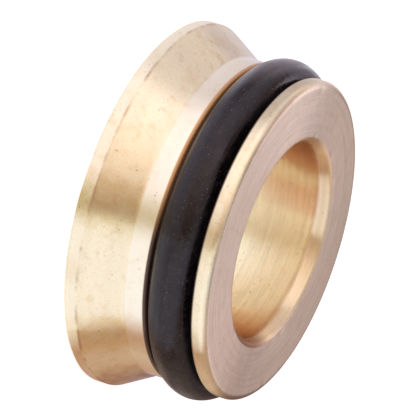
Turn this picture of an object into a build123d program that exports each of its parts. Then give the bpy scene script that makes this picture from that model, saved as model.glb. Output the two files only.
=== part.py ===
"""Eurocone adapter: a turned brass ring with a sealing cone, and the rubber O-ring in its groove.

The nose with the O-ring plugs into an outlet that has an inner cone. The wide rear face takes a flat gasket.
Millimetres. The axis is +Z, the rear face lies on z = 0 and the nose points up.
"""

import math
import os

from build123d import *

# Diameters of the turned ring
bore_diameter = 11.0
nose_diameter = 17.9
rim_diameter = 20.4

# Lengths along the axis, from the rear face to the front face
rim_width = 0.8
cone_half_angle = 30.0
neck_width = 1.34
flange_width = 0.9

# The O-ring, and how it lies in its groove
ring_inner_diameter = 14.3
ring_section_diameter = 2.4
ring_side_play = 0.25
ring_seat_gap = 0.02

# Chamfers
rim_chamfer = 0.2
rear_mouth_chamfer = 0.4
mouth_chamfer_width = 0.25
mouth_chamfer_length = 0.62

# Rounded corners
edge_round = 0.05
mouth_edge_round = 0.25
mouth_inside_round = 1.2
nose_round = 0.4
land_edge_round = 0.15
flange_edge_round = 0.2
neck_corner_round = 0.4
groove_corner_round = 0.2

# Radii and heights that follow from the sizes above
bore_radius = bore_diameter / 2
nose_radius = nose_diameter / 2
rim_radius = rim_diameter / 2
ring_section_radius = ring_section_diameter / 2
groove_radius = ring_inner_diameter / 2 - ring_seat_gap
groove_width = ring_section_diameter + ring_side_play
cone_width = (rim_radius - nose_radius) / math.tan(math.radians(cone_half_angle))

neck_z = rim_width + cone_width
groove_z = neck_z + neck_width
flange_z = groove_z + groove_width
front_z = flange_z + flange_width

# The O-ring rests on the groove's floor, pushed back against the wall on the cone's side
ring_path_radius = ring_inner_diameter / 2 + ring_section_radius
ring_z = groove_z + ring_seat_gap + ring_section_radius

# Corners of the ring's half section as (radius, height), counter-clockwise from the rear face
rear_mouth = (bore_radius + rear_mouth_chamfer, 0)
rim_rear = (rim_radius - rim_chamfer, 0)
rim_side = (rim_radius, rim_chamfer)
cone_foot = (rim_radius, rim_width)
neck_corner = (nose_radius, neck_z)
land_edge = (nose_radius, groove_z)
groove_rear_corner = (groove_radius, groove_z)
groove_front_corner = (groove_radius, flange_z)
flange_edge = (nose_radius, flange_z)
nose_edge = (nose_radius, front_z)
mouth_edge = (bore_radius + mouth_chamfer_width, front_z)
mouth_inside = (bore_radius, front_z - mouth_chamfer_length)
rear_mouth_inside = (bore_radius, rear_mouth_chamfer)

# Each corner with its round, in order round the half section
corners = [
    (rear_mouth, edge_round),
    (rim_rear, edge_round),
    (rim_side, edge_round),
    (cone_foot, edge_round),
    (neck_corner, neck_corner_round),
    (land_edge, land_edge_round),
    (groove_rear_corner, groove_corner_round),
    (groove_front_corner, groove_corner_round),
    (flange_edge, flange_edge_round),
    (nose_edge, nose_round),
    (mouth_edge, mouth_edge_round),
    (mouth_inside, mouth_inside_round),
    (rear_mouth_inside, edge_round),
]


def turned_ring():
    """The brass ring: its half section with every corner rounded, turned about the axis."""
    outline = Polyline(*[point for point, radius in corners], close=True)
    section = make_face(outline)
    for point, radius in corners:
        corner = section.vertices().sort_by_distance((*point, 0))[0]
        section = fillet(corner, radius)
    return revolve(Plane.XZ * section, Axis.Z)


def o_ring():
    """The round rubber ring, lying in the groove and standing proud of the nose."""
    return Pos(0, 0, ring_z) * Torus(ring_path_radius, ring_section_radius)


os.makedirs("parts", exist_ok=True)
export_step(turned_ring(), "parts/adapter_body.step")
export_step(o_ring(), "parts/o_ring.step")
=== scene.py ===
"""Looks of the eurocone adapter: a turned brass ring with a rubber O-ring, staged at the photograph's angle.

Metres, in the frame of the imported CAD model: the axis is +Z and the rear face stands on z = 0.
The brass and the rubber measure places in millimetres.
"""

import math

import bpy
import numpy as np
from mathutils import Matrix, Vector

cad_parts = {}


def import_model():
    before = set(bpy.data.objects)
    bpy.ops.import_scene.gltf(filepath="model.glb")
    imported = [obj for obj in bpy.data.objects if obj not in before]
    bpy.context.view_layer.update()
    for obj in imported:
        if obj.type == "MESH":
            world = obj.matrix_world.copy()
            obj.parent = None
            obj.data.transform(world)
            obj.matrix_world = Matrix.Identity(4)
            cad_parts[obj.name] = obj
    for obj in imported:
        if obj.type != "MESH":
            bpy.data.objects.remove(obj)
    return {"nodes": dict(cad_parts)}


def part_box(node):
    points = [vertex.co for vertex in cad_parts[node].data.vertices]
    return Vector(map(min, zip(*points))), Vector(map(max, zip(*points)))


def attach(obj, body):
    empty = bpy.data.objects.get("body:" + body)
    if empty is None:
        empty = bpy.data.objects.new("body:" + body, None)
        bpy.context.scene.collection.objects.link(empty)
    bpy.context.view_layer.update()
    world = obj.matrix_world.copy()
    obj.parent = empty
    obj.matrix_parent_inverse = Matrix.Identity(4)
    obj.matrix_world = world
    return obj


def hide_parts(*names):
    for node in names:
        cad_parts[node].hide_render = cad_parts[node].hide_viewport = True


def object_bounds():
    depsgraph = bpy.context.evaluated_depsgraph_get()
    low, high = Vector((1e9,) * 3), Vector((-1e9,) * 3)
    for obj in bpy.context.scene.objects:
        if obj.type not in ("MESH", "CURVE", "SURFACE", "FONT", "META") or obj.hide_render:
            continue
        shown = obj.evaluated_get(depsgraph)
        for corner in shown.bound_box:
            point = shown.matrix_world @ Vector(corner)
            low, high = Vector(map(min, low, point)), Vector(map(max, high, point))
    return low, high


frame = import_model()
cad_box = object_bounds()

mm = 0.001
white = (1, 1, 1)

# Fineness of the turned meshes
body_segments = 400
ring_segments = 288
ring_section_segments = 64

# Reading the CAD section: a hair, the shortest upright run, and how square to the axis a level run is
hair = 0.0001 * mm
shortest_run = 0.16 * mm
level_share = 0.99

# Feed marks that the turning tool left, and nicks on the edges
wear_seed = 4
feed = 0.2 * mm
feed_mark_depth = 0.003 * mm
feed_mark_shares = (0.3, 1.0)
fewest_marks = 2
steps_per_mark = 2
nick_count = 36
nick_width = (0.10 * mm, 0.35 * mm)
nick_depth = (0.003 * mm, 0.010 * mm)

# Colours of the brass: bright where it was last cut, with a thin film elsewhere, and a little less on the rim
bright_brass = (0.95, 0.84, 0.645)
filmed_brass = (0.91, 0.77, 0.525)
bore_brass = (0.925, 0.80, 0.61)
mouth_brass = (0.91, 0.73, 0.47)
rim_cleaned = 0.2

# Colours of painted shade and glow, and of dirt: painted dark shade in the groove and beside the land's edge,
# orange tarnish lit as a painted glow, brown dirt and specks; the mouth's and the bore's are painted shade
# that multiplies the brass
orange_painted_glow = (0.70, 0.36, 0.14)
painted_dark_shade = (0.10, 0.05, 0.03)
brown_dirt = (0.50, 0.32, 0.18)
speck_dirt = (0.16, 0.10, 0.06)
mouth_painted_shade = (0.50, 0.33, 0.25)
bore_painted_shade = (0.86, 0.66, 0.58)

# Where the marks on the brass lie and how soft their edges are, in millimetres
outside_soft = 0.1
behind_groove_soft = 0.1
rim_soft = 0.03
neck_soft = 0.1
face_soft = 0.05
front_soft = 0.1
mouth_soft = 0.05
bore_soft = 0.1
groove_inset = (0.06, 0.08)
groove_soft = 0.08
land_edge_reach = (0.02, 0.22)
land_edge_soft = 0.05
crease_lift = 0.03
crease_width = 0.13

# Sides of the part, as (azimuth, full within, gone beyond), in degrees: where the land's edge has its painted
# glow, where the mouth and bore have painted shade, and where specks gather
painted_glow_side = (-130, 25, 55)
painted_shade_side = (-6, 10, 36)
speckled_side = (-158, 8, 24)

# Patches on the brass, as (cells per millimetre, detail, noise where they start, noise where they are full)
crease_patches = (0.9, 6.0, 0.40, 0.66)
crease_strength = 0.7
speck_patches = (7.0, 2.0, 0.67, 0.73)
speck_clusters = (0.9, 1.0, 0.42, 0.58)
speck_strength = 0.5

# Blotches on the brass, as (patches, shade)
blotches = [
    ((0.7, 4.0, 0.50, 0.72), (0.94, 0.89, 0.82)),
    ((1.7, 6.0, 0.52, 0.72), (0.92, 0.86, 0.76)),
    ((8.0, 3.0, 0.40, 0.75), (0.93, 0.92, 0.91)),
]

# Golden and brown smudges behind the groove, golden tarnish partly painted as darker reflection and the last
# one painted shade, as (azimuth, full within, gone beyond, shade), and their patches
smudges_and_painted_reflections = [
    (-85.5, 3, 10.5, (0.90, 0.86, 0.71)),
    (-37, 4, 10, (0.97, 0.89, 0.72)),
    (-1, 4, 20, (0.77, 0.55, 0.45)),
]
smudge_and_reflection_patches = (1.6, 8.0, 0.36, 0.62)
smudge_and_reflection_strength = (0.45, 1.0)
smudge_and_reflection_grain = (12.0, 2.0)
smudge_and_reflection_grain_strength = (0.2, 1.8)

# Shares of the blotches and of the smudges and painted reflections that are left on filmed and on cleaned
# brass
blotches_left = (0.9, 0.4)
smudges_and_reflections_left = (1.0, 0.4)

# Lathe lines, as (lines per millimetre, how often they break round the axis), and their shade
fine_lines = (6.0, 2.0)
broad_lines = (2.2, 1.4)
line_fade = (0.35, 0.75)
line_shade = (0.92, 0.91, 0.90)

# Finish of the brass: metal where it is clean, less so at the specks and at the painted glow and shade, and
# rough across the lathe lines
metal_shares = (1.0, 0.3)
turned_roughness = (0.26, 0.37)
surface_roughness = [("face", 0.24), ("inside", 0.20), ("mouth", 0.36)]
anisotropy = 0.95
anisotropy_turn = 0.25

# Fine relief of the brass: noise as (cells per millimetre, detail), and relief as (strength, depth)
line_relief = (1.0, 0.0015 * mm)
pits = (6.0, 3.0)
pit_relief = (1.0, 0.0015 * mm)
waves = (0.7, 4.0)
wave_relief = (1.0, 0.007 * mm)

# Colours of the rubber: black and mottled, with pale dust, and a pale film on the side that faces a
# direction, partly dust and partly painted sheen
black_rubber = (0.0015, 0.0012, 0.0015)
grey_rubber = (0.009, 0.007, 0.008)
dust = (0.30, 0.27, 0.28)
rubber_painted_sheen = (0.24, 0.205, 0.21)
painted_sheen_side = (-0.8, 0.5, -0.2)
painted_sheen_fade = (0.2, 0.75)
painted_sheen_strength = (0.6, 1.0)

# Marks on the rubber: noise as (cells per millimetre, detail), and relief as (strength, depth)
rubber_grain = (12.0, 4.0)
grain_relief = (0.5, 0.012 * mm)
rubber_mottle = (2.2, 3.0)
mottle_fade = (0.4, 0.7)
mottle_relief = (0.6, 0.03 * mm)
rubber_streaks = (1.6, 2.4)
streak_fade = (0.3, 0.7)
streak_relief = (1.0, 0.08 * mm)
dust_patches = (12.0, 3.0, 0.64, 0.74)
dust_strength = 0.45
rubber_roughness = (0.08, 0.45)
rubber_gloss = {
    "Specular IOR Level": 0.45,
    "Specular Tint": (1.0, 0.85, 0.84, 1),
    "Sheen Weight": 0.06,
    "Sheen Roughness": 0.33,
    "Sheen Tint": (1.0, 0.88, 0.90, 1),
}

# Camera: fitted to the outline in the photograph
camera_elevation = math.radians(21.836)
camera_roll = math.radians(107.804)
camera_distance = 300 * mm
clip_range = (camera_distance / 10, camera_distance * 10)
image_size = 420
front_centre_pixel = (282.621, 242.318)
pixels_per_metre = 18647
sensor_width = 36

# The bore's wall mirrors itself many times
light_bounces = 24

# Softboxes and card: their places, and how bright they look in a mirror, as (share of the width, colour)
softbox_distance = 120 * mm
softbox_height = 400 * mm
left_softbox_span = (-168, -80)
left_softbox_colours = [
    (0, (0, 0, 0)),
    (0.18, (0.71, 0.68, 0.81)),
    (0.52, (0.74, 0.70, 0.70)),
    (1, (0.14, 0.12, 0.10)),
]
right_softbox_span = (-71, 4)
right_softbox_colours = [
    (0, (0.68, 0.82, 0.88)),
    (0.25, (0.715, 0.90, 1.14)),
    (1, (0.70, 0.92, 1.20)),
]
card_width = 42 * mm
card_height = 19 * mm
card_place = Vector((-4 * mm, 22 * mm, 21.5 * mm))
card_colours = [(0, (0.44, 0.36, 0.42)), (1, (0.86, 0.82, 1.02))]
card_soft_share = 0.53

# Colours of the room
pale_wall = (0.98, 0.96, 1.07)
cool_wall = (0.68, 0.63, 0.82)
grey_wall = (0.43, 0.34, 0.35)
tan_wall = (0.68, 0.52, 0.43)
brown_wall = (0.46, 0.31, 0.23)
dark_corner = (0.09, 0.05, 0.04)
dim_ceiling = (0.19, 0.15, 0.15)
overhead_light = (0.80, 0.76, 0.73)

# The room just above the floor and higher up, as (azimuth in degrees, colour), counter-clockwise from -X
low_room = [
    (-180, pale_wall),
    (-90, brown_wall),
    (12, brown_wall),
    (28, tan_wall),
    (46, tan_wall),
    (70, dark_corner),
    (90, dark_corner),
    (104, grey_wall),
    (118, cool_wall),
    (127, cool_wall),
    (145, pale_wall),
    (180, pale_wall),
]
high_room = [
    (-180, pale_wall),
    (-90, brown_wall),
    (-10, brown_wall),
    (12, tan_wall),
    (41, brown_wall),
    (62, grey_wall),
    (120, grey_wall),
    (136, brown_wall),
    (160, cool_wall),
    (180, pale_wall),
]

# Where one part of the room goes over into the next above it, as the sine of the elevation
high_room_rise = (0.26, 0.46)
ceiling_rise = (0.78, 0.93)
overhead_rise = (0.945, 0.985)

# The floor itself, which a glow lifts to white for the camera
floor_size = 2.0
floor_drop = 0.02 * mm
floor_finish = {
    "Base Color": (0.8, 0.8, 0.8, 1),
    "Roughness": 0.9,
    "Specular IOR Level": 0.0,
    "Emission Color": (*white, 1),
}
floor_camera_glow = 0.6

# The floor round the object as a mirror shows it, near and far, by azimuth in degrees about floor_centre: a
# painted reflection with lit zones and painted shade, which glows only for mirrors
floor_centre = (0.3 * mm, -6.2 * mm, 0)
lit_floor = (1.22, 1.22, 1.42)
right_lit_floor = (1.13, 1.18, 1.36)
soft_lit_floor = (1.04, 1.06, 1.18)
shaded_strip = (0.77, 0.72, 0.61)
brown_floor = (0.57, 0.36, 0.26)
tan_floor = (0.68, 0.54, 0.44)
dark_floor = (0.20, 0.11, 0.10)
dull_floor = (0.55, 0.50, 0.60)
cool_floor = (0.76, 0.73, 0.97)
blue_floor = (0.84, 0.89, 1.22)
pale_floor = (0.93, 0.92, 1.02)
pale_blue_floor = (1.02, 1.02, 1.22)
near_floor = [
    (-180, pale_blue_floor),
    (-171, pale_blue_floor),
    (-162, lit_floor),
    (-98, lit_floor),
    (-82, shaded_strip),
    (-74, shaded_strip),
    (-62, right_lit_floor),
    (-1, right_lit_floor),
    (11, brown_floor),
    (18, brown_floor),
    (29, tan_floor),
    (38, brown_floor),
    (46, brown_floor),
    (58, cool_floor),
    (95, cool_floor),
    (128, blue_floor),
    (142, pale_floor),
    (162, pale_blue_floor),
    (180, pale_blue_floor),
]
far_floor = [
    (-180, dull_floor),
    (-150, lit_floor),
    (-98, lit_floor),
    (-82, shaded_strip),
    (-74, shaded_strip),
    (-58, soft_lit_floor),
    (-6, soft_lit_floor),
    (11, brown_floor),
    (28, tan_floor),
    (48, tan_floor),
    (62, dark_floor),
    (88, dark_floor),
    (103, pale_floor),
    (118, pale_floor),
    (136, dull_floor),
    (180, dull_floor),
]
far_floor_reach = (14.5 * mm, 20 * mm)

# The floor in the bore as a mirror shows it, by azimuth in degrees: a painted glow, bright in the middle,
# brown with painted shadow at its edge
bore_lit = (1.42, 1.62, 1.74)
bore_strip = (0.90, 0.87, 0.72)
bore_warm = (1.20, 1.22, 1.06)
bore_edge_pale = (0.98, 0.68, 0.56)
bore_edge_tan = (0.62, 0.34, 0.27)
bore_edge_brown = (0.42, 0.17, 0.13)
bore_edge_dark = (0.25, 0.07, 0.05)
bore_floor = [
    (-180, bore_lit),
    (-128, bore_lit),
    (-92, bore_strip),
    (-68, bore_strip),
    (-35, bore_warm),
    (120, bore_warm),
    (180, bore_lit),
]
bore_edge_floor = [
    (-180, bore_edge_pale),
    (-145, bore_edge_pale),
    (-105, bore_edge_brown),
    (-75, bore_edge_dark),
    (-35, bore_edge_dark),
    (-10, bore_edge_brown),
    (15, bore_edge_tan),
    (140, bore_edge_tan),
    (170, bore_edge_pale),
    (180, bore_edge_pale),
]
bore_edge_reach = (4.5 * mm, 4.85 * mm)
bore_end_reach = (5.6 * mm, 6.6 * mm)


def node(tree, kind, inputs=(), **settings):
    """A new node with its settings made and its inputs linked or set."""
    made = tree.nodes.new(kind)
    for name, value in settings.items():
        setattr(made, name, value)
    for name, value in dict(inputs).items():
        if isinstance(value, bpy.types.NodeSocket):
            tree.links.new(value, made.inputs[name])
        else:
            made.inputs[name].default_value = value
    return made


def calculate(tree, operation, *values):
    """The result of a Math node."""
    return node(tree, "ShaderNodeMath", enumerate(values), operation=operation).outputs[0]


def product(tree, first, *others):
    """Numbers multiplied together."""
    for other in others:
        first = calculate(tree, "MULTIPLY", first, other)
    return first


def largest(tree, first, *others):
    """The largest of some numbers."""
    for other in others:
        first = calculate(tree, "MAXIMUM", first, other)
    return first


def combine(tree, operation, *values):
    """The vector result of a Vector Math node."""
    return node(tree, "ShaderNodeVectorMath", enumerate(values), operation=operation).outputs["Vector"]


def measure(tree, operation, *values):
    """The number that a Vector Math node gives."""
    return node(tree, "ShaderNodeVectorMath", enumerate(values), operation=operation).outputs["Value"]


def scaled(tree, vector, scale):
    """A vector times a number."""
    inputs = {0: vector, "Scale": scale}
    return node(tree, "ShaderNodeVectorMath", inputs, operation="SCALE").outputs["Vector"]


def separated(tree, vector):
    """The X, Y and Z of a vector."""
    return node(tree, "ShaderNodeSeparateXYZ", {0: vector}).outputs


def flattened(tree, place):
    """A place moved along the axis to z = 0."""
    return combine(tree, "MULTIPLY", place, (1, 1, 0))


def fade(tree, value, start, end):
    """0 before start, 1 after end and a smooth step between them."""
    inputs = {"Value": value, "From Min": start, "From Max": end}
    return node(tree, "ShaderNodeMapRange", inputs, interpolation_type="SMOOTHSTEP").outputs["Result"]


def band(tree, value, start, end, soft):
    """1 between start and end and 0 outside them, with soft edges."""
    rising = fade(tree, value, start - soft, start + soft)
    falling = fade(tree, value, end + soft, end - soft)
    return product(tree, rising, falling)


def spread(tree, value, low, high):
    """A value of 0 to 1 spread over low to high."""
    inputs = {"Value": value, "To Min": low, "To Max": high}
    return node(tree, "ShaderNodeMapRange", inputs).outputs["Result"]


def rgba(colour):
    """A colour of three numbers with its alpha, or a socket as it is."""
    if isinstance(colour, bpy.types.NodeSocket):
        return colour
    return (*colour, 1)


def mixed(tree, factor, first, second):
    """The first colour where factor is 0, and the second where it is 1."""
    inputs = {0: factor, 6: rgba(first), 7: rgba(second)}
    return node(tree, "ShaderNodeMix", inputs, data_type="RGBA").outputs[2]


def shaded(tree, mask, colour, shade):
    """The colour, multiplied by a shade where the mask is 1."""
    return mixed(tree, mask, colour, combine(tree, "MULTIPLY", colour, shade))


def noise(tree, vector, scale, detail, **inputs):
    """The value of a Noise node, in four dimensions where W is given."""
    inputs = {"Vector": vector, "Scale": scale, "Detail": detail, **inputs}
    dimensions = "4D" if "W" in inputs else "3D"
    return node(tree, "ShaderNodeTexNoise", inputs, noise_dimensions=dimensions).outputs["Fac"]


def patches(tree, place, pattern):
    """Patches of noise with soft edges, as a mask."""
    scale, detail, start, end = pattern
    return fade(tree, noise(tree, place, scale, detail), start, end)


def new_material(name):
    """A material with an empty node tree, and its Principled shader."""
    material = bpy.data.materials.new(name)
    material.use_nodes = True
    tree = material.node_tree
    tree.nodes.clear()
    shader = node(tree, "ShaderNodeBsdfPrincipled")
    node(tree, "ShaderNodeOutputMaterial", {"Surface": shader.outputs[0]})
    return material, tree, shader


def set_inputs(shader, values):
    """Set a shader's inputs to plain values, by name."""
    for name, value in values.items():
        shader.inputs[name].default_value = value


def emboss(tree, shader, reliefs):
    """Fine relief on a shader, one over another, from a list of (height, strength, depth)."""
    normal = None
    for height, strength, depth in reliefs:
        bump = node(tree, "ShaderNodeBump", {"Height": height, "Strength": strength, "Distance": depth})
        if normal:
            tree.links.new(normal, bump.inputs["Normal"])
        normal = bump.outputs[0]
    tree.links.new(normal, shader.inputs["Normal"])


def in_millimetres(tree):
    """The place on a piece in millimetres."""
    return scaled(tree, node(tree, "ShaderNodeTexCoord").outputs["Object"], 1 / mm)


def turning_streaks(tree, place, fineness, breakup):
    """Noise drawn out round the axis: lines that close on themselves and slowly come and go."""
    flat = flattened(tree, place)
    across = product(tree, measure(tree, "LENGTH", flat), fineness)
    across = node(tree, "ShaderNodeCombineXYZ", {"Z": across}).outputs[0]
    around = scaled(tree, combine(tree, "NORMALIZE", flat), breakup)
    height = product(tree, separated(tree, place)["Z"], fineness)
    return noise(tree, combine(tree, "ADD", around, across), scale=1.0, detail=1.0, W=height)


def heading(azimuth):
    """The level direction at an azimuth in degrees, counter-clockwise from +X."""
    return Vector((math.cos(math.radians(azimuth)), math.sin(math.radians(azimuth)), 0))


def facing(tree, place, azimuth, near, far):
    """1 within near degrees of an azimuth of the part, and 0 beyond far degrees from it."""
    outward = combine(tree, "NORMALIZE", flattened(tree, place))
    along = measure(tree, "DOT_PRODUCT", outward, heading(azimuth))
    return fade(tree, along, math.cos(math.radians(far)), math.cos(math.radians(near)))


def brass_masks(tree, place, section):
    """Where each surface of the brass ring lies, as masks of 0 to 1."""
    rim, neck, _, flange = [np.array(run) / mm for run in upright_runs(section)]
    face_height = section[:, 1].max() / mm
    bore_radius = section[:, 0].min() / mm
    mouth_radius = front_face(section)[0] / mm
    radius = measure(tree, "LENGTH", flattened(tree, place))
    height = separated(tree, place)["Z"]
    groove_span = (neck[2] + groove_inset[0], flange[1] - groove_inset[1])
    land_edge_span = (neck[2] - land_edge_reach[0], neck[2] + land_edge_reach[1])
    off_crease = calculate(tree, "SUBTRACT", height, rim[2] + crease_lift)
    off_crease = calculate(tree, "ABSOLUTE", off_crease)
    levels = {
        "behind_groove": fade(tree, height, neck[2] + behind_groove_soft, neck[2]),
        "rim": band(tree, height, rim[1], rim[2], rim_soft),
        "neck": band(tree, height, neck[1], neck[2], neck_soft),
        "face": fade(tree, height, face_height - face_soft, face_height),
        "groove": band(tree, height, *groove_span, groove_soft),
        "land_edge": band(tree, height, *land_edge_span, land_edge_soft),
        "crease": fade(tree, off_crease, crease_width, 0.0),
    }
    outside = fade(tree, radius, mouth_radius - outside_soft, mouth_radius + outside_soft)
    masks = {name: product(tree, level, outside) for name, level in levels.items()}
    in_mouth = band(tree, radius, bore_radius + mouth_soft, mouth_radius, mouth_soft)
    on_front = fade(tree, height, flange[1], flange[1] + front_soft)
    masks["mouth"] = product(tree, in_mouth, on_front)
    masks["bore"] = fade(tree, radius, bore_radius + bore_soft, bore_radius)
    masks["inside"] = calculate(tree, "SUBTRACT", 1.0, outside)
    return masks


def brass_film(tree, place, masks, lines):
    """The brass's colour: bright where last cut, with a film, blotches, smudges partly painted as darker
    reflection, and fine lines.
    """
    cleaned = largest(tree, product(tree, masks["rim"], rim_cleaned), masks["neck"], masks["face"])
    colour = mixed(tree, cleaned, filmed_brass, bright_brass)
    colour = mixed(tree, masks["inside"], colour, bore_brass)
    colour = mixed(tree, masks["mouth"], colour, mouth_brass)
    blotched = spread(tree, largest(tree, cleaned, masks["inside"]), *blotches_left)
    for pattern, shade in blotches:
        blotch = product(tree, patches(tree, place, pattern), blotched)
        colour = shaded(tree, blotch, colour, shade)
    smudge_and_reflection_cover = spread(tree, patches(tree, place, smudge_and_reflection_patches), *smudge_and_reflection_strength)
    grainy = spread(tree, noise(tree, place, *smudge_and_reflection_grain), *smudge_and_reflection_grain_strength)
    left = spread(tree, cleaned, *smudges_and_reflections_left)
    smudge_and_reflection_cover = product(tree, smudge_and_reflection_cover, grainy, masks["behind_groove"], left)
    # Smudges at given azimuths: golden tarnish, partly painted reflection; the last one painted shade
    for azimuth, near, far, shade in smudges_and_painted_reflections:
        smudge_and_reflection = product(tree, facing(tree, place, azimuth, near, far), smudge_and_reflection_cover)
        colour = shaded(tree, smudge_and_reflection, colour, shade)
    lined = largest(tree, masks["face"], masks["inside"])
    lined = product(tree, lined, fade(tree, lines, *line_fade))
    return shaded(tree, lined, colour, line_shade)


def brass_dirt_and_painted_light(tree, place, masks, colour):
    """The colour with painted shade in the groove, mouth and bore, a painted glow and shade at the land's
    edge, a dirty crease and specks; and a mask of the specks and the painted glow and shade.
    """
    # The land's edge: orange tarnish lit as a painted glow on one side, painted shade on the other; the
    # groove: painted shade
    edge_glow_and_shade = mixed(tree, facing(tree, place, *painted_glow_side), painted_dark_shade, orange_painted_glow)
    colour = mixed(tree, masks["groove"], colour, painted_dark_shade)
    colour = mixed(tree, masks["land_edge"], colour, edge_glow_and_shade)
    # Painted shade on one side of the mouth and of the bore
    on_painted_shade_side = facing(tree, place, *painted_shade_side)
    for name, shade in (("mouth", mouth_painted_shade), ("bore", bore_painted_shade)):
        colour = shaded(tree, product(tree, on_painted_shade_side, masks[name]), colour, shade)
    crease = product(tree, masks["crease"], patches(tree, place, crease_patches), crease_strength)
    colour = mixed(tree, crease, colour, brown_dirt)
    clustered = largest(tree, patches(tree, place, speck_clusters), facing(tree, place, *speckled_side))
    specks = product(tree, patches(tree, place, speck_patches), clustered, speck_strength)
    specks_and_painted_light = largest(tree, masks["groove"], masks["land_edge"], specks)
    return mixed(tree, specks, colour, speck_dirt), specks_and_painted_light


def brass(section):
    """Turned brass: lathe lines round the axis, a thin film, blotches, smudges partly painted as reflection,
    painted shade and glow at the groove, mouth and bore, and dirt.
    """
    material, tree, shader = new_material("brass")
    place = in_millimetres(tree)
    masks = brass_masks(tree, place, section)
    fine = turning_streaks(tree, place, *fine_lines)
    broad = turning_streaks(tree, place, *broad_lines)
    colour, specks_and_painted_light = brass_dirt_and_painted_light(tree, place, masks, brass_film(tree, place, masks, fine))
    tree.links.new(colour, shader.inputs["Base Color"])
    tree.links.new(spread(tree, specks_and_painted_light, *metal_shares), shader.inputs["Metallic"])
    roughness = spread(tree, broad, *turned_roughness)
    for name, value in surface_roughness:
        roughness = node(tree, "ShaderNodeMix", {0: masks[name], 2: roughness, 3: value}).outputs[0]
    tree.links.new(roughness, shader.inputs["Roughness"])
    emboss(tree, shader, [
        (fine, *line_relief),
        (noise(tree, place, *pits), *pit_relief),
        (noise(tree, place, *waves), *wave_relief),
    ])
    tangent = node(tree, "ShaderNodeTangent", direction_type="RADIAL", axis="Z")
    tree.links.new(tangent.outputs[0], shader.inputs["Tangent"])
    set_inputs(shader, {"Anisotropic": anisotropy, "Anisotropic Rotation": anisotropy_turn})
    return material


def rubber():
    """Black rubber: mottled, with a fine grain, soft streaks, pale dust, and on one side a pale film of dust
    and painted sheen.
    """
    material, tree, shader = new_material("rubber")
    place = in_millimetres(tree)
    grain = noise(tree, place, *rubber_grain)
    mottle = noise(tree, place, *rubber_mottle)
    streaks = turning_streaks(tree, place, *rubber_streaks)
    colour = mixed(tree, fade(tree, mottle, *mottle_fade), black_rubber, grey_rubber)
    dusty = product(tree, patches(tree, place, dust_patches), dust_strength)
    colour = mixed(tree, dusty, colour, dust)
    # A pale film on the side that faces one direction: partly dust, partly painted sheen
    outward = node(tree, "ShaderNodeNewGeometry").outputs["True Normal"]
    painted_sheen_cover = fade(tree, measure(tree, "DOT_PRODUCT", outward, painted_sheen_side), *painted_sheen_fade)
    painted_sheen_cover = product(tree, painted_sheen_cover, spread(tree, grain, *painted_sheen_strength))
    colour = mixed(tree, painted_sheen_cover, colour, rubber_painted_sheen)
    tree.links.new(colour, shader.inputs["Base Color"])
    roughness = spread(tree, fade(tree, streaks, *streak_fade), *rubber_roughness)
    tree.links.new(roughness, shader.inputs["Roughness"])
    emboss(tree, shader, [
        (grain, *grain_relief),
        (mottle, *mottle_relief),
        (streaks, *streak_relief),
    ])
    set_inputs(shader, rubber_gloss)
    return material


def section_of(name):
    """The half section of a turned CAD node, as a closed loop of (radius, height), counter-clockwise."""
    mesh = frame["nodes"][name].data
    spots = {}
    for vertex in mesh.vertices:
        x, y, z = vertex.co
        if x > 0 and abs(y) < hair:
            spots[vertex.index] = (round(x / hair), round(z / hair))
    neighbours = {}
    for edge in mesh.edges:
        first, second = [spots.get(index) for index in edge.vertices]
        if first and second and first != second:
            neighbours.setdefault(first, set()).add(second)
            neighbours.setdefault(second, set()).add(first)
    start = min(neighbours)
    loop = [start, min(neighbours[start])]
    while loop[-1] != start:
        onward = [spot for spot in neighbours[loop[-1]] if spot != loop[-2]]
        loop.append(onward[0])
    points = np.array(loop[:-1], float) * hair
    following = np.roll(points, -1, 0)
    turn = (points[:, 0] * following[:, 1] - following[:, 0] * points[:, 1]).sum()
    return points if turn > 0 else points[::-1]


def upright_runs(section):
    """The upright runs that face outwards, from the rear to the front, as (radius, low, high)."""
    runs = []
    for start, end in zip(section, np.roll(section, -1, 0)):
        if end[1] - start[1] > shortest_run and abs(end[0] - start[0]) < hair:
            runs.append((start[0], start[1], end[1]))
    return sorted(runs, key=lambda run: run[1])


def front_face(section):
    """The inner and the outer radius of the flat front face."""
    radii = section[section[:, 1] > section[:, 1].max() - hair][:, 0]
    return radii.min(), radii.max()


def feed_marked(section, draw):
    """The section with its straight runs scored by the tool's feed, but for the rear face and the groove."""
    groove_radius = min(radius for radius, low, high in upright_runs(section))
    marked = []
    for start, end in zip(section, np.roll(section, -1, 0)):
        marked.append(start)
        run = end - start
        distance = float(np.hypot(*run))
        outward = np.array((run[1], -run[0])) / distance
        marks = round(distance / feed)
        groove_floor = abs(start[0] - groove_radius) < hair
        level = abs(outward[1]) > level_share
        behind_front = start[1] < cad_box[1].z - hair
        if marks < fewest_marks or groove_floor or (level and behind_front):
            continue
        depths = feed_mark_depth * draw.uniform(*feed_mark_shares, marks)
        for step in range(1, marks * steps_per_mark):
            depth = depths[step // steps_per_mark] * (step % steps_per_mark)
            marked.append(start + run * step / (marks * steps_per_mark) - outward * depth)
    return np.array(marked)


def swept(section, segments):
    """The points of a section at every step round the axis."""
    angles = np.arange(segments) * 2 * math.pi / segments
    radii = section[:, 0][:, None]
    heights = np.broadcast_to(section[:, 1][:, None], (len(section), segments))
    return np.stack([radii * np.cos(angles), radii * np.sin(angles), heights], -1)


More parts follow.
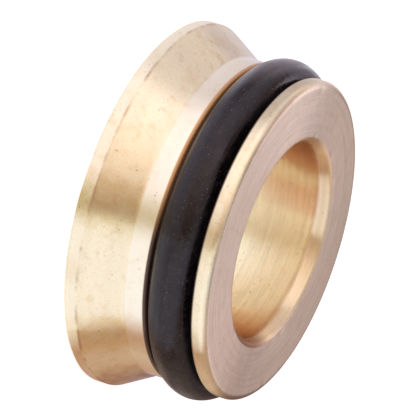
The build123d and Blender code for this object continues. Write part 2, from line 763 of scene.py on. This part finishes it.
def nicked(points, section, draw):
    """The points with small dents on the rim's, the nose's and the mouth's edges."""
    rim_radius, _, rim_top = upright_runs(section)[0]
    mouth_radius, nose_radius = front_face(section)
    front = cad_box[1].z
    edges = [(rim_radius, rim_top), (nose_radius, front), (mouth_radius, front)]
    middle = section.mean(0)
    for nick in range(nick_count):
        edge = np.array(edges[nick % len(edges)])
        inward = (middle - edge) / np.hypot(*(middle - edge))
        angle = draw.uniform(0, 2 * math.pi)
        width = draw.uniform(*nick_width)
        depth = draw.uniform(*nick_depth)
        around = np.array((math.cos(angle), math.sin(angle)))
        centre = np.array((*(edge[0] * around), edge[1]))
        push = np.array((*(inward[0] * around), inward[1]))
        away = np.linalg.norm(points - centre, axis=-1) / width
        points = points + (depth * np.exp(-away ** 2))[..., None] * push
    return points


def add_to_scene(piece):
    """Link a new object to the scene."""
    bpy.context.scene.collection.objects.link(piece)


def turned(name, rings):
    """A closed mesh from rings of points: rings[i][j] is point i of the section at step j round the axis."""
    count, segments, _ = rings.shape
    faces = []
    for i in range(count):
        for j in range(segments):
            i_next = (i + 1) % count
            j_next = (j + 1) % segments
            faces.append((
                i * segments + j,
                i * segments + j_next,
                i_next * segments + j_next,
                i_next * segments + j,
            ))
    mesh = bpy.data.meshes.new(name)
    mesh.from_pydata(rings.reshape(-1, 3).tolist(), [], faces)
    mesh.shade_smooth()
    mesh.validate()
    piece = bpy.data.objects.new(name, mesh)
    add_to_scene(piece)
    return piece


def adapter_body():
    """The brass ring, in the CAD section with the tool's feed marks and the nicks of use on it."""
    draw = np.random.default_rng(wear_seed)
    section = section_of("adapter_body")
    points = swept(feed_marked(section, draw), body_segments)
    piece = turned("brass_ring", nicked(points, section, draw))
    piece.data.materials.append(brass(section))
    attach(piece, "root")
    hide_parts("adapter_body")


def o_ring():
    """The rubber O-ring, round in section."""
    low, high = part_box("o_ring")
    section_radius = (high.z - low.z) / 2
    path_radius = high.x - section_radius
    centre_height = (high.z + low.z) / 2
    around = np.arange(ring_section_segments) * 2 * math.pi / ring_section_segments
    section = np.stack([
        path_radius + section_radius * np.cos(around),
        centre_height + section_radius * np.sin(around),
    ], -1)
    piece = turned("rubber_ring", swept(section, ring_segments))
    piece.data.materials.append(rubber())
    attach(piece, "root")
    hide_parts("o_ring")


def ramp(tree, share, stops):
    """The colour at a share of 0 to 1 along a list of (share, colour)."""
    made = node(tree, "ShaderNodeValToRGB", {0: share})
    elements = made.color_ramp.elements
    while len(elements) < len(stops):
        elements.new(0.5)
    for element, (position, _) in zip(elements, stops):
        element.position = position
    for element, (_, colour) in zip(elements, stops):
        element.color = rgba(colour)
    return made.outputs["Color"]


def by_azimuth(tree, direction, colours):
    """The colour in a direction, from a list of (azimuth in degrees, colour)."""
    parts = separated(tree, direction)
    azimuth = calculate(tree, "ARCTAN2", parts["Y"], parts["X"])
    inputs = {"Value": azimuth, "From Min": -math.pi, "From Max": math.pi}
    share = node(tree, "ShaderNodeMapRange", inputs).outputs["Result"]
    stops = [((degrees + 180) / 360, colour) for degrees, colour in colours]
    return ramp(tree, share, stops)


def soft_lamp(name, width, height, colours, place, target, soft_share=0):
    """A rectangular lamp at a place, facing a target, that the camera doesn't see.

    Its colours are its radiance, as a list of (share, colour) from one side to the other.
    Its lower edge fades over soft_share of its height.
    """
    lamp = bpy.data.lights.new(name, "AREA")
    lamp.shape = "RECTANGLE"
    lamp.size = width
    lamp.size_y = height
    lamp.energy = math.pi * width * height
    lamp.use_nodes = True
    tree = lamp.node_tree
    emission = tree.nodes["Emission"]
    across = separated(tree, node(tree, "ShaderNodeNewGeometry").outputs["Parametric"])
    tree.links.new(ramp(tree, across["X"], colours), emission.inputs["Color"])
    if soft_share:
        tree.links.new(fade(tree, across["Y"], 0, soft_share), emission.inputs["Strength"])
    stand = bpy.data.objects.new(name, lamp)
    stand.location = place
    stand.rotation_mode = "QUATERNION"
    stand.rotation_quaternion = (target - place).to_track_quat("-Z", "Y")
    stand.visible_camera = False
    add_to_scene(stand)


def softbox(name, span, colours):
    """An upright soft lamp on the floor over a span of azimuths, coloured from its first to its last side."""
    middle = sum(span) / 2
    half_span = math.radians(span[1] - span[0]) / 2
    width = 2 * softbox_distance * math.tan(half_span)
    level = Vector((0, 0, softbox_height / 2))
    place = heading(middle) * softbox_distance + level
    soft_lamp(name, width, softbox_height, colours, place, level)


def back_card():
    """The card behind the object that the front face mirrors, soft at its lower edge."""
    target = card_place - Vector((0, card_place.y, 0))
    soft_lamp("back_card", card_width, card_height, card_colours, card_place, target, card_soft_share)


def world():
    """White to the camera; to all else a room with warm and cool sides and a light in a dim ceiling."""
    room = bpy.data.worlds.new("room")
    room.use_nodes = True
    tree = room.node_tree
    tree.nodes.clear()
    direction = node(tree, "ShaderNodeTexCoord").outputs["Generated"]
    seen = node(tree, "ShaderNodeLightPath").outputs["Is Camera Ray"]
    rise = separated(tree, direction)["Z"]
    low = by_azimuth(tree, direction, low_room)
    high = by_azimuth(tree, direction, high_room)
    colour = mixed(tree, fade(tree, rise, *high_room_rise), low, high)
    colour = mixed(tree, fade(tree, rise, *ceiling_rise), colour, dim_ceiling)
    colour = mixed(tree, fade(tree, rise, *overhead_rise), colour, overhead_light)
    colour = mixed(tree, seen, colour, white)
    background = node(tree, "ShaderNodeBackground", {"Color": colour, "Strength": 1.0})
    node(tree, "ShaderNodeOutputWorld", {"Surface": background.outputs[0]})
    bpy.context.scene.world = room


def mirrored_floor(tree):
    """The colour that a mirror shows of the floor, a painted reflection with painted light and shade: its
    zones in the bore and all round the object.
    """
    place = node(tree, "ShaderNodeTexCoord").outputs["Object"]
    reach = measure(tree, "LENGTH", place)
    middle = by_azimuth(tree, place, bore_floor)
    edge = by_azimuth(tree, place, bore_edge_floor)
    in_bore = mixed(tree, fade(tree, reach, *bore_edge_reach), middle, edge)
    direction = combine(tree, "SUBTRACT", place, floor_centre)
    near = by_azimuth(tree, direction, near_floor)
    far = by_azimuth(tree, direction, far_floor)
    around = mixed(tree, fade(tree, reach, *far_floor_reach), near, far)
    return mixed(tree, fade(tree, reach, *bore_end_reach), in_bore, around)


def floor():
    """A plain pale floor. The camera sees it white, with the shadow, and a mirror sees its zones as a painted
    glow.
    """
    half = floor_size / 2
    mesh = bpy.data.meshes.new("floor")
    corners = [(-half, -half, 0), (half, -half, 0), (half, half, 0), (-half, half, 0)]
    mesh.from_pydata(corners, [], [(0, 1, 2, 3)])
    piece = bpy.data.objects.new("floor", mesh)
    piece.location.z = -floor_drop
    add_to_scene(piece)

    material, tree, shader = new_material("floor")
    set_inputs(shader, floor_finish)
    path = node(tree, "ShaderNodeLightPath").outputs
    lift = product(tree, path["Is Camera Ray"], floor_camera_glow)
    tree.links.new(lift, shader.inputs["Emission Strength"])
    glow = node(tree, "ShaderNodeEmission", {"Color": mirrored_floor(tree), "Strength": 1.0})
    mirrored = largest(tree, path["Is Glossy Ray"], path["Is Transmission Ray"])
    either = node(tree, "ShaderNodeMixShader", {0: mirrored, 1: shader.outputs[0], 2: glow.outputs[0]})
    tree.links.new(either.outputs[0], tree.get_output_node("ALL").inputs["Surface"])
    material.cycles.emission_sampling = "NONE"
    mesh.materials.append(material)


def camera():
    """The photograph's camera: a long lens, rolled on its side."""
    front_centre = Vector((0, 0, cad_box[1].z))
    back = Vector((0, -math.cos(camera_elevation), math.sin(camera_elevation)))
    level = Vector((1, 0, 0))
    upright = back.cross(level)
    right = math.cos(camera_roll) * level + math.sin(camera_roll) * upright
    up = -math.sin(camera_roll) * level + math.cos(camera_roll) * upright
    aside = (front_centre_pixel[0] - image_size / 2) / pixels_per_metre
    below = (front_centre_pixel[1] - image_size / 2) / pixels_per_metre
    eye = front_centre - right * aside + up * below + back * camera_distance
    lens = bpy.data.cameras.new("camera")
    lens.sensor_width = sensor_width
    lens.lens = pixels_per_metre * camera_distance * sensor_width / image_size
    lens.clip_start, lens.clip_end = clip_range
    piece = bpy.data.objects.new("camera", lens)
    turn = Matrix((right, up, back)).transposed().to_4x4()
    piece.matrix_world = Matrix.Translation(eye) @ turn
    add_to_scene(piece)
    bpy.context.scene.camera = piece


bpy.context.scene.view_settings.view_transform = "Standard"
bpy.context.scene.cycles.max_bounces = light_bounces
bpy.context.scene.cycles.glossy_bounces = light_bounces
adapter_body()
o_ring()
world()
floor()
softbox("softbox_left", left_softbox_span, left_softbox_colours)
softbox("softbox_right", right_softbox_span, right_softbox_colours)
back_card()
camera()
